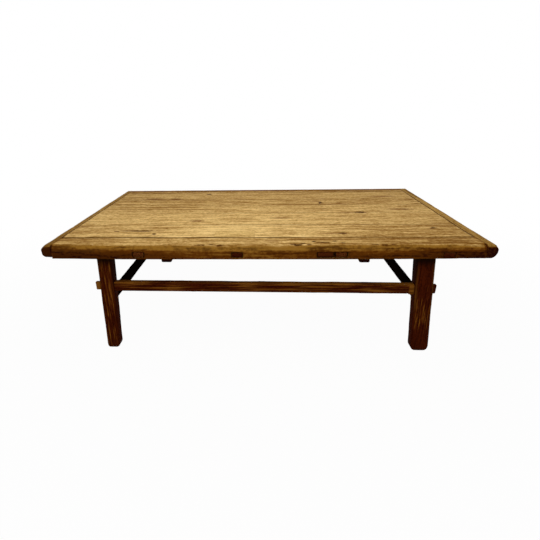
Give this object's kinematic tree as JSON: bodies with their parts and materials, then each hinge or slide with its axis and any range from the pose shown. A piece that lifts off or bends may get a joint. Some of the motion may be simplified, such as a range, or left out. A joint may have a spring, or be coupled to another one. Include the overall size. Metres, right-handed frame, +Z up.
{
  "type": "low table",
  "caption": "Low rectangular elm coffee table with a planked frame top, splayed legs and pegged stretchers with through tenons.",
  "frame": {"origin": "on the floor, under the middle of the top", "axes": "+X along the length, to the right as seen from the front; +Y to the rear; +Z up"},
  "size_m": [1.8, 1.051, 0.492],
  "materials": {
    "top_elm": "old waxed wood, worn",
    "end_elm": "old waxed wood, worn",
    "leg_elm": "old waxed wood, worn",
    "batten_wood": "old waxed wood, worn",
    "patch_wood": "old waxed wood, worn",
    "plug_wood": "old waxed wood, worn",
    "peg_wood": "old waxed wood, worn"
  },
  "bodies": {
    "root": {"front_rail": "top_elm", "rear_rail": "top_elm", "top_plank_1": "top_elm", "top_plank_2": "top_elm", "top_plank_3": "top_elm", "top_plank_4": "top_elm", "top_plank_5": "top_elm", "left_end_rail": "end_elm", "right_end_rail": "end_elm", "front_left_leg": "leg_elm", "front_right_leg": "leg_elm", "rear_left_leg": "leg_elm", "rear_right_leg": "leg_elm", "front_stretcher": "leg_elm", "rear_stretcher": "leg_elm", "left_stretcher": "leg_elm", "right_stretcher": "leg_elm", "cross_batten_1": "batten_wood", "cross_batten_2": "batten_wood", "cross_batten_3": "batten_wood", "cross_batten_4": "batten_wood", "plank_patch": "patch_wood", "rail_plug": "plug_wood", "leg_pegs": "peg_wood", "end_rail_pegs": "peg_wood", "stretcher_pegs": "peg_wood", "side_stretcher_pegs": "peg_wood"}
  },
  "joints": []
}
